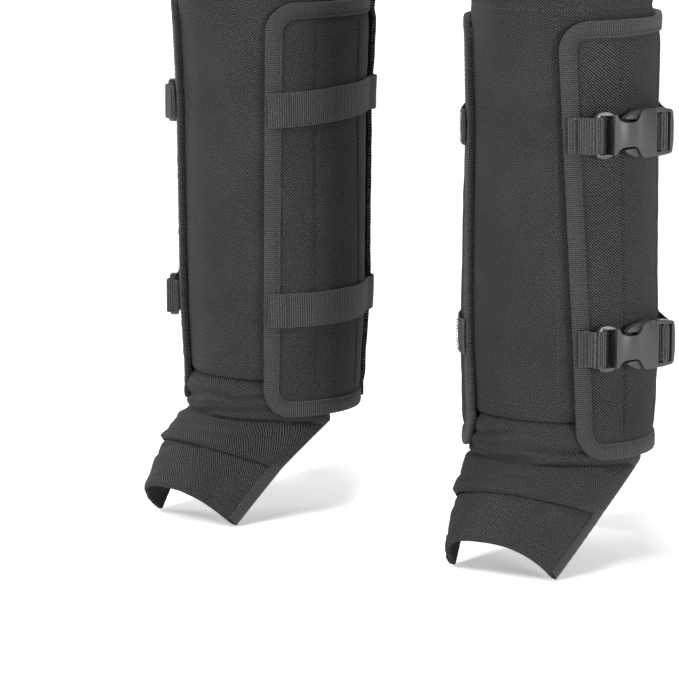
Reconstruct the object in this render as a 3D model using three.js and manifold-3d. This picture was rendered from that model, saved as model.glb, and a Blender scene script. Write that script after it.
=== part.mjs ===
// A pair of padded lower-leg gaiters with buckled straps.
// Millimetres, +Z up. The wearer faces -Y and their left is +X. The origin lies midway between
// the two leg axes, level with the lowest corners of the instep covers.
// One gaiter is modelled round its own leg axis, and the other is its mirror image.

import * as THREE from 'three';
import { mergeVertices } from 'three/addons/utils/BufferGeometryUtils.js';
import Module from 'manifold-3d';

const wasm = await Module();
wasm.setup();

// ---- driving dimensions -------------------------------------------------------------------

const LEG_SPACING = 257;        // between the two leg axes
const TOE_OUT = 12.5;           // each gaiter turns out by this many degrees

// the outer face of the front shell: an oval at four heights
const TOP_Z = 398;
const CALF_Z = 302;
const SHANK_Z = 156;
const HEM_Z = 103;
const TOP_HALF_WIDTH = 62.5;
const TOP_HALF_DEPTH = 74;
const CALF_HALF_WIDTH = 61.5;
const CALF_HALF_DEPTH = 68;
const SHANK_HALF_WIDTH = 65;
const SHANK_HALF_DEPTH = 64;
const HEM_HALF_WIDTH = 63.5;
const HEM_HALF_DEPTH = 60;

const SHELL_THICKNESS = 4;
const SHELL_REACH = 100;        // degrees each way from the shin
const LINER_THICKNESS = 2;
const LINER_REACH = 84;
const LINER_MARGIN = 9;         // liner stops this far inside the shell's top and hem

const WING_THICKNESS = 4;
const WING_TOP_Z = 378;
const WING_BOTTOM_Z = 77;
const WING_CORNER = 20;         // corner radius
const LATERAL_EDGE = 29;        // degrees from the shin to the sewn edge
const MEDIAL_EDGE = 47;
const LATERAL_WRAP = 205;       // degrees from the shin to the free rear edge
const MEDIAL_WRAP = 205;
const BINDING_WIDTH = 10.5;
const BINDING_THICKNESS = 0.9;
const LATERAL_BINDING_END = 112; // degrees from the shin
const MEDIAL_BINDING_END = 128;
const CLIMB_RUN = 40;           // outer wing climbs over this many degrees, ending a little
const CLIMB_LEAD = 6;           // before the inner wing's free edge

const CLOSURE_THICKNESS = 1;    // hook tape and loop tape
const CLOSURE_REACH = 14;       // degrees each way from the middle of the overlap
const CLOSURE_MARGIN = 30;      // above the wing's bottom and below its top

const STRAP_WIDTH = 25;
const STRAP_THICKNESS = 1.6;
const UPPER_STRAP_Z = 302;
const LOWER_STRAP_Z = 156;
const STRAP_LEAVE = 124;        // degrees from the shin, where the strap leaves the outer wing
const STRAP_INSET = 0.6;        // degrees from a wing's edge to its strap's sewn end

const PUFF_THICKNESS = 5;
const UPPER_PUFF_SWELL = 4;
const LOWER_PUFF_SWELL = 3;
const PUFF_TUCK_FRONT = 3;      // puffs start this far behind the shell's hem at the front
const PUFF_TUCK_SIDE = 5;
const PUFF_LINE_Z = 74;         // crease between the two ankle puffs
const PUFF_LINE_DROP = 4;       // how much lower the crease lies at its side edges
const PUFF_LINE_BACK = 4;       // how far its side edges lie behind the leg axis
const COVER_LINE_Z = 58;        // crease above the instep cover
const COVER_LINE_FRONT = 84;    // how far that crease stands in front of the leg axis
const COVER_LINE_SIDE = 51;
const COVER_LINE_CORNER_FRONT = 40;
const COVER_LINE_CORNER_Z = 39;
const COVER_THICKNESS = 3;
const COVER_SWELL = 1;
const BAND_SHARE = 0.97;        // of the way from one crease to the next that a puff fills
const COVER_FRONT = 110;        // front of the instep cover's hem
const COVER_FRONT_Z = 27;
const COVER_CORNER_FRONT = 80;  // the hem's lower side corners
const COVER_CORNER_SIDE = 39;
const ANKLE_TWIST = 6.5;        // degrees that the instep cover turns in from the shell
const SIDE_TAPE_WIDTH = 8;
const SIDE_TAPE_THICKNESS = 1.2;
const SIDE_TAPE_STANDOFF = 2.6; // clear of the puffs' swell
const SIDE_TAPE_TOP = 0.95;     // tape's two ends, counted in bands down from the shell's hem
const SIDE_TAPE_BOTTOM = 2.97;

const BUCKLE_ANGLE = 60;        // degrees from the shin to the buckle's middle plane
const BUCKLE_WIDTH = 33;
const BUCKLE_THICKNESS = 9.6;
const FEMALE_LENGTH = 46;
const FEMALE_OVERHANG = 24;     // how far the anchor end lies ahead of the tangent point
const ANCHOR_BAR = 2.6;
const ANCHOR_SLOT = 9;
const SLOT_CLEARANCE = 1.6;     // how much longer a slot is than the strap is wide
const LOOP_LIFT = 0.8;          // underside of the anchor loop, above the body's underside
const LOOP_TILT = 12;           // degrees that the loop dips towards the leg
const PLATE_CORNER = 2.5;
const CAVITY_WIDTH = 25.6;
const CAVITY_THICKNESS = 6.2;
const CAVITY_DEPTH = 26;
const WINDOW_START = 9;         // side window, from the mouth
const WINDOW_LENGTH = 12.6;
const MALE_FRAME_LENGTH = 16;
const MALE_FRAME_THICKNESS = 5.6;
const MALE_FRAME_LIFT = 2;      // its underside, above the female half's underside
const MALE_BAR = 2.8;
const MALE_SLOT = 3.7;
const STEM_WIDTH = 6;
const STEM_THICKNESS = 3;
const STEM_LENGTH = 22;
const ARM_WIDTH = 3;
const ARM_THICKNESS = 5;
const ARM_LENGTH = 21;
const BARB_LENGTH = 10.8;
const BARB_REACH = 2.9;

const GAP = 0.4;                // between layers that touch on the real object
const STEP = 8;                 // degrees between the sections of a wrapped panel

// ---- materials ----------------------------------------------------------------------------

const shellFabric = new THREE.MeshStandardMaterial({ color: 0x3a3b3d, roughness: 0.9 });
const linerFabric = new THREE.MeshStandardMaterial({ color: 0x202123, roughness: 0.95 });
const bindingTape = new THREE.MeshStandardMaterial({ color: 0x303133, roughness: 0.85 });
const webbing = new THREE.MeshStandardMaterial({ color: 0x343537, roughness: 0.8 });
const bucklePlastic = new THREE.MeshStandardMaterial({ color: 0x2a2c2f, roughness: 0.42 });
const hookTape = new THREE.MeshStandardMaterial({ color: 0x18191a, roughness: 0.95 });

// ---- the leg's oval and the solids that follow it ------------------------------------------

const stations = [
  { z: HEM_Z, a: HEM_HALF_WIDTH, b: HEM_HALF_DEPTH },
  { z: SHANK_Z, a: SHANK_HALF_WIDTH, b: SHANK_HALF_DEPTH },
  { z: CALF_Z, a: CALF_HALF_WIDTH, b: CALF_HALF_DEPTH },
  { z: TOP_Z, a: TOP_HALF_WIDTH, b: TOP_HALF_DEPTH },
];

function ovalAt(z) {
  const last = stations.length - 1;
  if (z <= stations[0].z) {
    return stations[0];
  }
  if (z >= stations[last].z) {
    return stations[last];
  }
  const k = stations.findIndex((s) => s.z > z);
  const low = stations[k - 1];
  const high = stations[k];
  const t = (z - low.z) / (high.z - low.z);
  return { a: THREE.MathUtils.lerp(low.a, high.a, t), b: THREE.MathUtils.lerp(low.b, high.b, t) };
}

// A point at an angle from the shin, positive towards the outer side, standing off the shell's face.
function onLeg(degrees, z, offset) {
  const oval = ovalAt(z);
  const angle = THREE.MathUtils.degToRad(degrees);
  return new THREE.Vector3((oval.a + offset) * Math.sin(angle), -(oval.b + offset) * Math.cos(angle), z);
}

function signedVolume(geometry) {
  const p = geometry.attributes.position;
  const index = geometry.index;
  const a = new THREE.Vector3();
  const b = new THREE.Vector3();
  const c = new THREE.Vector3();
  let sum = 0;
  for (let i = 0; i < index.count; i += 3) {
    a.fromBufferAttribute(p, index.getX(i));
    b.fromBufferAttribute(p, index.getX(i + 1));
    c.fromBufferAttribute(p, index.getX(i + 2));
    sum += a.dot(b.cross(c));
  }
  return sum / 6;
}

// A closed solid through a row of sections, each a ring with the same number of points.
// The first half of a ring runs along the inner face and the second half back along the outer one.
function solidThrough(rings) {
  const count = rings[0].length;
  const half = count / 2;
  const positions = rings.flat().flatMap((v) => [v.x, v.y, v.z]);
  const faces = [];
  for (let r = 0; r + 1 < rings.length; r += 1) {
    for (let k = 0; k < count; k += 1) {
      const here = r * count + k;
      const next = r * count + ((k + 1) % count);
      faces.push(here, next, next + count, here, next + count, here + count);
    }
  }
  const end = (rings.length - 1) * count;
  for (let k = 0; k + 1 < half; k += 1) {
    const across = count - 1 - k;
    faces.push(k, across, across - 1, k, across - 1, k + 1);
    faces.push(end + k, end + across - 1, end + across, end + k, end + k + 1, end + across - 1);
  }
  const geometry = new THREE.BufferGeometry();
  geometry.setAttribute('position', new THREE.Float32BufferAttribute(positions, 3));
  geometry.setIndex(faces);
  if (signedVolume(geometry) < 0) {
    const index = geometry.index;
    for (let i = 0; i < index.count; i += 3) {
      const kept = index.getX(i + 1);
      index.setX(i + 1, index.getX(i + 2));
      index.setX(i + 2, kept);
    }
  }
  geometry.computeVertexNormals();
  return geometry;
}

// The angles of a panel's sections: its two ends, and every multiple of STEP between them, so that
// the layers have their facets in the same places.
function anglesBetween(from, to) {
  const low = Math.min(from, to);
  const high = Math.max(from, to);
  const inside = [];
  for (let angle = Math.ceil(low / STEP) * STEP; angle < high; angle += STEP) {
    if (angle - low > 1 && high - angle > 1) {
      inside.push(angle);
    }
  }
  const all = [low, ...inside, high];
  return from <= to ? all : all.reverse();
}

function stationHeightsBetween(low, high) {
  return stations.map((s) => s.z).filter((z) => z > low + 1 && z < high - 1);
}

// The heights of a panel's rows: its two ends, and the oval's stations between them.
function heightsBetween(low, high, stationHeights) {
  return [low, ...stationHeights.map((z) => THREE.MathUtils.clamp(z, low + 0.5, high - 0.5)), high];
}

// A panel wrapped round the leg. low, high and offset are functions of the angle.
function wrappedPanel({ angles, low, high, offset, thickness }) {
  const stationHeights = stationHeightsBetween(Math.min(...angles.map(low)), Math.max(...angles.map(high)));
  const rings = angles.map((angle) => {
    const heights = heightsBetween(low(angle), high(angle), stationHeights);
    const inner = heights.map((z) => onLeg(angle, z, offset(angle)));
    const outer = heights.map((z) => onLeg(angle, z, offset(angle) + thickness));
    return inner.concat(outer.reverse());
  });
  return solidThrough(rings);
}

// ---- the front shell and its liner -----------------------------------------------------------

function frontShell() {
  return wrappedPanel({
    angles: anglesBetween(-SHELL_REACH, SHELL_REACH),
    low: () => HEM_Z,
    high: () => TOP_Z,
    offset: () => -SHELL_THICKNESS,
    thickness: SHELL_THICKNESS,
  });
}

function shinLiner() {
  return wrappedPanel({
    angles: anglesBetween(-LINER_REACH, LINER_REACH),
    low: () => HEM_Z + LINER_MARGIN,
    high: () => TOP_Z - LINER_MARGIN,
    offset: () => -SHELL_THICKNESS - GAP - LINER_THICKNESS,
    thickness: LINER_THICKNESS,
  });
}

// ---- the two wings, their bindings and the closure tapes --------------------------------------

// How far round the leg one millimetre reaches, at the oval's middle height.
const DEGREES_PER_MM = 180 / (Math.PI * (CALF_HALF_WIDTH + WING_THICKNESS));
const CORNER_ANGLE = WING_CORNER * DEGREES_PER_MM;
const BINDING_ANGLE = BINDING_WIDTH * DEGREES_PER_MM;

// How far a rounded corner pulls the edge in, at a distance from the sewn edge.
function cornerInset(fromEdge) {
  const reach = Math.min(Math.max(fromEdge / CORNER_ANGLE, 0), 1);
  return WING_CORNER * (1 - Math.sqrt(1 - (1 - reach) * (1 - reach)));
}

const MEDIAL_OFFSET = GAP;
const LOOP_OFFSET = MEDIAL_OFFSET + WING_THICKNESS + GAP;
const HOOK_OFFSET = LOOP_OFFSET + CLOSURE_THICKNESS + GAP;
const LATERAL_REAR_OFFSET = HOOK_OFFSET + CLOSURE_THICKNESS + GAP;
// The outer wing climbs onto the inner one before the inner wing's free edge.
const CLIMB_START = 360 - MEDIAL_WRAP - CLIMB_RUN;
const CLIMB_END = 360 - MEDIAL_WRAP - CLIMB_LEAD;

function lateralOffset(angle) {
  const climbed = THREE.MathUtils.smoothstep(angle, CLIMB_START, CLIMB_END);
  return THREE.MathUtils.lerp(GAP, LATERAL_REAR_OFFSET, climbed);
}

function wingAngles(edge, wrap) {
  const corner = [0, 0.06, 0.25, 0.55, 1].map((share) => edge + share * CORNER_ANGLE);
  return corner.concat(anglesBetween(corner[4], wrap).slice(1));
}

function wing(edge, wrap, offset) {
  return wrappedPanel({
    angles: wingAngles(edge, wrap),
    low: (angle) => WING_BOTTOM_Z + cornerInset(angle - edge),
    high: (angle) => WING_TOP_Z - cornerInset(angle - edge),
    offset,
    thickness: WING_THICKNESS,
  });
}

// The tape sewn over a wing's bottom, front and top edges, from one end angle round to the other.
function wingBinding(edge, end, offset) {
  const innerRadius = WING_CORNER - BINDING_WIDTH;
  const centreAngle = edge + CORNER_ANGLE;
  const side = (way) => {
    const rim = way > 0 ? WING_TOP_Z : WING_BOTTOM_Z;
    const centreZ = rim - way * WING_CORNER;
    const straight = anglesBetween(end, centreAngle).slice(0, -1);
    const run = straight.map((angle) => [[angle, rim], [angle, rim - way * BINDING_WIDTH]]);
    const turns = [0, 0.25, 0.5, 0.75, 1].map((share) => (share * Math.PI) / 2);
    const round = turns.map((turn) => [WING_CORNER, innerRadius].map((radius) => [
      centreAngle - radius * DEGREES_PER_MM * Math.sin(turn),
      centreZ + way * radius * Math.cos(turn),
    ]));
    return run.concat(round);
  };
  const column = stationHeightsBetween(WING_BOTTOM_Z + WING_CORNER, WING_TOP_Z - WING_CORNER)
    .map((z) => [[edge, z], [edge + BINDING_ANGLE, z]]);
  return solidThrough([...side(-1), ...column, ...side(1).reverse()].map(([rim, inside]) => {
    const at = ([angle, z], lift) => onLeg(angle, z, offset(angle) + WING_THICKNESS + GAP + lift);
    return [at(rim, 0), at(inside, 0), at(inside, BINDING_THICKNESS), at(rim, BINDING_THICKNESS)];
  }));
}

function closureTape(offset) {
  return wrappedPanel({
    angles: anglesBetween(180 - CLOSURE_REACH, 180 + CLOSURE_REACH),
    low: () => WING_BOTTOM_Z + CLOSURE_MARGIN,
    high: () => WING_TOP_Z - CLOSURE_MARGIN,
    offset: () => offset,
    thickness: CLOSURE_THICKNESS,
  });
}

// ---- boolean helpers ---------------------------------------------------------------------------

function toManifold(geometry) {
  const bare = geometry.clone();
  bare.deleteAttribute('normal');
  bare.deleteAttribute('uv');
  const merged = mergeVertices(bare, 1e-4);
  return new wasm.Manifold(new wasm.Mesh({
    numProp: 3,
    vertProperties: new Float32Array(merged.attributes.position.array),
    triVerts: new Uint32Array(merged.index.array),
  }));
}

function fromManifold(solid) {
  const mesh = solid.getMesh();
  const geometry = new THREE.BufferGeometry();
  geometry.setAttribute('position', new THREE.BufferAttribute(new Float32Array(mesh.vertProperties), 3));
  geometry.setIndex(new THREE.BufferAttribute(new Uint32Array(mesh.triVerts), 1));
  geometry.computeVertexNormals();
  return geometry;
}

function joined(pieces) {
  return fromManifold(pieces.map(toManifold).reduce((whole, piece) => whole.add(piece)));
}

function cut(geometry, holes) {
  const cut = holes.map(toManifold).reduce((whole, hole) => whole.subtract(hole), toManifold(geometry));
  return fromManifold(cut);
}

// ---- the ankle: two puffs, the instep cover and its side tapes -----------------------------------

// The ankle follows the front of the foot. t is 0 at the shell's hem, 1 and 2 at the two creases and
// 3 at the lowest hem, and the path gives the outer face at each of them.
const hemStart = { side: HEM_HALF_WIDTH - PUFF_TUCK_SIDE, z: HEM_Z - GAP };
const anklePath = [
  { front: HEM_HALF_DEPTH - PUFF_TUCK_FRONT, side: hemStart.side, back: 0, z: hemStart.z, rearZ: hemStart.z },
  {
    front: HEM_HALF_DEPTH,
    side: hemStart.side,
    back: PUFF_LINE_BACK,
    z: PUFF_LINE_Z,
    rearZ: PUFF_LINE_Z - PUFF_LINE_DROP,
  },
  {
    front: COVER_LINE_FRONT,
    side: COVER_LINE_SIDE,
    back: -COVER_LINE_CORNER_FRONT,
    z: COVER_LINE_Z,
    rearZ: COVER_LINE_CORNER_Z,
  },
  { front: COVER_FRONT, side: COVER_CORNER_SIDE, back: -COVER_CORNER_FRONT, z: COVER_FRONT_Z, rearZ: 0 },
];

const SQUARENESS = 0.12;        // how much each band below the first squares up the oval
const FALL_POWER = 1.8;         // how late the creases drop towards their side edges
const FADE_POWER = 1.5;         // how soon a puff's swell fades towards them

// A point on the ankle's outer face. u runs from -1 at one side edge to 1 at the other.
function onAnkle(t, u, bulge) {
  const k = Math.min(Math.floor(t), anklePath.length - 2);
  const mix = t - k;
  const low = anklePath[k];
  const high = anklePath[k + 1];
  const value = (name) => THREE.MathUtils.lerp(low[name], high[name], mix);
  const turn = (u * Math.PI) / 2;
  const square = Math.max(0, t - 1) * SQUARENESS;
  const side = Math.sign(u) * Math.abs(Math.sin(turn)) ** (1 - square);
  const ahead = Math.abs(Math.cos(turn)) ** (1 - square);
  const reach = value('front') + value('back');
  const fall = Math.abs(u) ** FALL_POWER;
  const point = new THREE.Vector3(
    (value('side') + bulge) * side,
    value('back') - (reach + bulge) * ahead,
    THREE.MathUtils.lerp(value('z'), value('rearZ'), fall),
  );
  const twist = (-ANKLE_TWIST * t) / (anklePath.length - 1);
  return point.applyAxisAngle(new THREE.Vector3(0, 0, 1), THREE.MathUtils.degToRad(twist));
}

const ANKLE_STEPS = 16;
const ANKLE_ROWS = 3;
const TAPE_STEPS = 10;

// One band of the ankle between two creases, thickest halfway down.
function ankleBand(from, to, thickness, swell) {
  const rings = [];
  for (let i = 0; i <= ANKLE_STEPS; i += 1) {
    const u = -1 + (2 * i) / ANKLE_STEPS;
    const inner = [];
    const outer = [];
    for (let k = 0; k <= ANKLE_ROWS; k += 1) {
      const share = k / ANKLE_ROWS;
      const t = THREE.MathUtils.lerp(from, to, share);
      inner.push(onAnkle(t, u, -thickness));
      outer.unshift(onAnkle(t, u, swell * Math.sin(Math.PI * share) * (1 - Math.abs(u)) ** FADE_POWER));
    }
    rings.push(inner.concat(outer));
  }
  return solidThrough(rings);
}

// The tape along one side edge of the ankle, from the instep corner up to the wing.
function sideTape(side) {
  const rings = [];
  for (let i = 0; i <= TAPE_STEPS; i += 1) {
    const t = THREE.MathUtils.lerp(SIDE_TAPE_BOTTOM, SIDE_TAPE_TOP, i / TAPE_STEPS);
    const edge = onAnkle(t, side, GAP);
    const inward = onAnkle(t, side * 0.9, GAP);
    const along = onAnkle(t - 0.05, side, GAP).sub(edge).normalize();
    const across = inward.clone().sub(edge);
    across.addScaledVector(along, -across.dot(along)).normalize();
    const out = new THREE.Vector3(side, 0, 0);
    out.addScaledVector(along, -out.dot(along)).addScaledVector(across, -out.dot(across)).normalize();
    const near = edge.clone().addScaledVector(out, SIDE_TAPE_STANDOFF);
    const far = near.clone().addScaledVector(across, SIDE_TAPE_WIDTH);
    const nearOut = near.clone().addScaledVector(out, SIDE_TAPE_THICKNESS);
    const farOut = far.clone().addScaledVector(out, SIDE_TAPE_THICKNESS);
    rings.push([near, far, farOut, nearOut]);
  }
  return solidThrough(rings);
}

// ---- webbing -------------------------------------------------------------------------------------

// Webbing along a path in plan, standing on edge round a strap's height. Each path entry gives the
// inner face's point at a height, and the outward direction there.
function webbingAlong(path, centreZ) {
  const low = centreZ - STRAP_WIDTH / 2;
  const high = centreZ + STRAP_WIDTH / 2;
  const heights = heightsBetween(low, high, stationHeightsBetween(low, high));
  const rings = path.map((place) => {
    const inner = heights.map((z) => place(z).point);
    const outer = heights.map((z) => place(z).point.addScaledVector(place(z).out, STRAP_THICKNESS));
    return inner.concat(outer.reverse());
  });
  return solidThrough(rings);
}

function onLegPlace(angle, offset) {
  return (z) => {
    const point = onLeg(angle, z, offset);
    const oval = ovalAt(z);
    const radians = THREE.MathUtils.degToRad(angle);
    const out = new THREE.Vector3(Math.sin(radians) / oval.a, -Math.cos(radians) / oval.b, 0).normalize();
    return { point, out };
  };
}

// The buckle's own frame: along runs rearwards, out away from the leg, and the third way is up.
const buckleTurn = THREE.MathUtils.degToRad(BUCKLE_ANGLE);
const buckleOut = new THREE.Vector3(Math.sin(buckleTurn), -Math.cos(buckleTurn), 0);
const buckleAlong = new THREE.Vector3(Math.cos(buckleTurn), Math.sin(buckleTurn), 0);
const WING_FACE = GAP + WING_THICKNESS;
const BINDING_FACE = WING_FACE + GAP + BINDING_THICKNESS;
const BUCKLE_STANDOFF = WING_FACE + 2 * GAP;
const MOUTH = FEMALE_LENGTH - FEMALE_OVERHANG;

function buckleBase(centreZ) {
  return onLeg(BUCKLE_ANGLE, centreZ, 0).addScaledVector(buckleOut, BUCKLE_STANDOFF);
}

function inBuckle(centreZ, along, out) {
  const base = buckleBase(centreZ);
  return (z) => ({
    point: base.clone().addScaledVector(buckleAlong, along).addScaledVector(buckleOut, out).setZ(z),
    out: buckleOut.clone(),
  });
}

function turned(place, along, out) {
  const direction = buckleAlong.clone().multiplyScalar(along).addScaledVector(buckleOut, out).normalize();
  return (z) => ({ point: place(z).point, out: direction });
}

// The short webbing sewn to the outer wing's edge, up over the buckle's anchor bar.
function shortWebbing(centreZ) {
  const bar = -FEMALE_OVERHANG;
  const drop = (ANCHOR_SLOT + ANCHOR_BAR / 2) * Math.sin(THREE.MathUtils.degToRad(LOOP_TILT));
  const top = BUCKLE_THICKNESS / 2 + GAP - drop;
  const leg = bar + ANCHOR_BAR + 3 * GAP;
  const edge = LATERAL_EDGE + STRAP_INSET;
  const path = [0, 1.5, 3].map((more) => onLegPlace(edge + more, BINDING_FACE + GAP));
  path.push(inBuckle(centreZ, bar - 3, top - 1));
  path.push(inBuckle(centreZ, bar + ANCHOR_BAR / 2, top + GAP));
  path.push(turned(inBuckle(centreZ, leg, top), 1, 1));
  path.push(turned(inBuckle(centreZ, leg, 0.2), 1, 0));
  return webbingAlong(path, centreZ);
}

// The long strap: sewn to the inner wing's edge, round the calf, and off the wing to the male half.
function longStrap(centreZ) {
  const face = (angle) => {
    const wrapped = 360 - angle;
    const overLateral = lateralOffset(wrapped) + WING_THICKNESS + GAP;
    const free = 360 - LATERAL_WRAP;
    const onMedial = WING_FACE + (angle < MEDIAL_EDGE + BINDING_ANGLE + 4 ? BINDING_THICKNESS + GAP : 0) + GAP;
    return THREE.MathUtils.lerp(onMedial, overLateral, THREE.MathUtils.smoothstep(angle, free - 16, free - 3));
  };
  const angles = anglesBetween(MEDIAL_EDGE + STRAP_INSET, 360 - STRAP_LEAVE);
  const path = angles.map((angle) => onLegPlace(-angle, face(angle)));
  path.push(inBuckle(centreZ, MOUTH + GAP + MALE_FRAME_LENGTH + 3, 0.6));
  return webbingAlong(path, centreZ);
}

// The strap's stretch that is threaded over the male half's middle bar.
function adjusterLoop(centreZ) {
  const start = MOUTH + GAP;
  const firstSlot = start + MALE_BAR + MALE_SLOT / 2;
  const bar = firstSlot + MALE_SLOT / 2 + MALE_BAR / 2;
  const secondSlot = bar + MALE_BAR / 2 + MALE_SLOT / 2;
  const above = MALE_FRAME_LIFT + MALE_FRAME_THICKNESS + GAP;
  const half = STRAP_THICKNESS / 2;
  const path = [
    turned(inBuckle(centreZ, firstSlot + half, 0.6), -1, 0),
    turned(inBuckle(centreZ, firstSlot + half, above - 0.5), -1, 0),
    turned(inBuckle(centreZ, firstSlot + half + 0.5, above), -1, 1),
    inBuckle(centreZ, bar, above + 0.2),
    turned(inBuckle(centreZ, secondSlot - half - 0.5, above), 1, 1),
    turned(inBuckle(centreZ, secondSlot - half, above - 0.5), 1, 0),
    turned(inBuckle(centreZ, secondSlot - half, 0.6), 1, 0),
  ];
  return webbingAlong(path, centreZ);
}

// ---- the side-release buckle, in its own frame: x along, y up the strap's width, z outwards -------

function block(x, y, z, centreX, centreY, centreZ) {
  return new THREE.BoxGeometry(x, y, z).translate(centreX, centreY, centreZ);
}

// A plate with rounded corners in plan.
function roundedPlate(x0, x1, width, z0, z1, radius) {
  const shape = new THREE.Shape();
  const half = width / 2;
  shape.moveTo(x0 + radius, -half);
  shape.lineTo(x1 - radius, -half);
  shape.quadraticCurveTo(x1, -half, x1, -half + radius);
  shape.lineTo(x1, half - radius);
  shape.quadraticCurveTo(x1, half, x1 - radius, half);
  shape.lineTo(x0 + radius, half);
  shape.quadraticCurveTo(x0, half, x0, half - radius);
  shape.lineTo(x0, -half + radius);
  shape.quadraticCurveTo(x0, -half, x0 + radius, -half);
  const options = { depth: z1 - z0, bevelEnabled: false, curveSegments: 3 };
  const geometry = new THREE.ExtrudeGeometry(shape, options);
  return geometry.translate(0, 0, z0);
}

function femaleBuckle() {
  const anchor = -FEMALE_OVERHANG;
  const bodyStart = anchor + ANCHOR_BAR + ANCHOR_SLOT;
  const middle = BUCKLE_THICKNESS / 2;
  const body = roundedPlate(bodyStart, MOUTH, BUCKLE_WIDTH, 0, BUCKLE_THICKNESS, PLATE_CORNER);
  const slotMiddle = anchor + ANCHOR_BAR + ANCHOR_SLOT / 2;
  const slot = block(ANCHOR_SLOT, STRAP_WIDTH + SLOT_CLEARANCE, BUCKLE_THICKNESS * 2, slotMiddle, 0, middle);
  const plate = roundedPlate(anchor, bodyStart + 4, BUCKLE_WIDTH, LOOP_LIFT, middle, PLATE_CORNER);
  const loop = cut(plate, [slot])
    .translate(-bodyStart, 0, -LOOP_LIFT)
    .rotateY(-THREE.MathUtils.degToRad(LOOP_TILT))
    .translate(bodyStart, 0, LOOP_LIFT);
  const cavityMiddle = MOUTH - CAVITY_DEPTH / 2 + 1;
  const cavity = block(CAVITY_DEPTH + 2, CAVITY_WIDTH, CAVITY_THICKNESS, cavityMiddle, 0, middle);
  const windowMiddle = MOUTH - WINDOW_START - WINDOW_LENGTH / 2;
  const window = block(WINDOW_LENGTH, BUCKLE_WIDTH * 2, CAVITY_THICKNESS, windowMiddle, 0, middle);
  return cut(joined([body, loop]), [cavity, window]);
}

function maleBuckle() {
  const start = MOUTH + GAP;
  const high = MALE_FRAME_LIFT + MALE_FRAME_THICKNESS;
  const middle = BUCKLE_THICKNESS / 2;
  const end = start + MALE_FRAME_LENGTH;
  const frame = roundedPlate(start, end, BUCKLE_WIDTH, MALE_FRAME_LIFT, high, PLATE_CORNER);
  const stem = block(STEM_LENGTH + 2, STEM_WIDTH, STEM_THICKNESS, start + 1 - STEM_LENGTH / 2, 0, middle);
  const slots = [0, 1].map((turn) => {
    const centre = start + MALE_BAR + MALE_SLOT / 2 + turn * (MALE_BAR + MALE_SLOT);
    return block(MALE_SLOT, STRAP_WIDTH + SLOT_CLEARANCE, BUCKLE_THICKNESS * 2, centre, 0, middle);
  });
  return cut(joined([frame, stem]), slots);
}

// One sprung arm, with its pivot at the origin and its barb towards +y.
function buckleArm() {
  const shape = new THREE.Shape();
  shape.moveTo(0, -ARM_WIDTH / 2);
  shape.lineTo(0, ARM_WIDTH / 2);
  shape.lineTo(-ARM_LENGTH + BARB_LENGTH, ARM_WIDTH / 2);
  shape.lineTo(-ARM_LENGTH + BARB_LENGTH, ARM_WIDTH / 2 + BARB_REACH);
  shape.lineTo(-ARM_LENGTH + BARB_LENGTH / 2, ARM_WIDTH / 2 + BARB_REACH);
  shape.lineTo(-ARM_LENGTH, ARM_WIDTH / 2);
  shape.lineTo(-ARM_LENGTH, -ARM_WIDTH / 2);
  shape.closePath();
  return new THREE.ExtrudeGeometry(shape, { depth: ARM_THICKNESS, bevelEnabled: false })
    .translate(0, 0, -ARM_THICKNESS / 2);
}

const ARM_PIVOT_SIDE = CAVITY_WIDTH / 2 - GAP - ARM_WIDTH / 2;

// ---- one gaiter ----------------------------------------------------------------------------------

function piece(name, geometry, material) {
  const mesh = new THREE.Mesh(geometry, material);
  mesh.name = name;
  return mesh;
}

function mirroredAcross(geometry) {
  const copy = geometry.clone();
  copy.scale(-1, 1, 1);
  const index = copy.index;
  for (let i = 0; i < index.count; i += 3) {
    const kept = index.getX(i + 1);
    index.setX(i + 1, index.getX(i + 2));
    index.setX(i + 2, kept);
  }
  return copy;
}

function strapSet(side, level, centreZ) {
  const group = new THREE.Group();
  const name = (what) => `${side}_${level}_${what}`;
  group.add(piece(name('strap'), longStrap(centreZ), webbing));
  group.add(piece(name('short_webbing'), shortWebbing(centreZ), webbing));
  group.add(piece(name('adjuster_loop'), adjusterLoop(centreZ), webbing));

  const buckle = new THREE.Group();
  buckle.matrixAutoUpdate = false;
  buckle.matrix.makeBasis(buckleAlong, new THREE.Vector3(0, 0, 1), buckleOut);
  buckle.matrix.setPosition(buckleBase(centreZ));
  buckle.add(piece(name('female_buckle'), femaleBuckle(), bucklePlastic));
  buckle.add(piece(name('male_buckle'), maleBuckle(), bucklePlastic));
  for (const [which, way] of [['top', 1], ['bottom', -1]]) {
    const arm = piece(name(`${which}_arm`), buckleArm(), bucklePlastic);
    arm.position.set(MOUTH - GAP / 2, way * ARM_PIVOT_SIDE, BUCKLE_THICKNESS / 2);
    arm.scale.y = way;
    buckle.add(arm);
  }
  group.add(buckle);
  return group;
}

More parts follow.
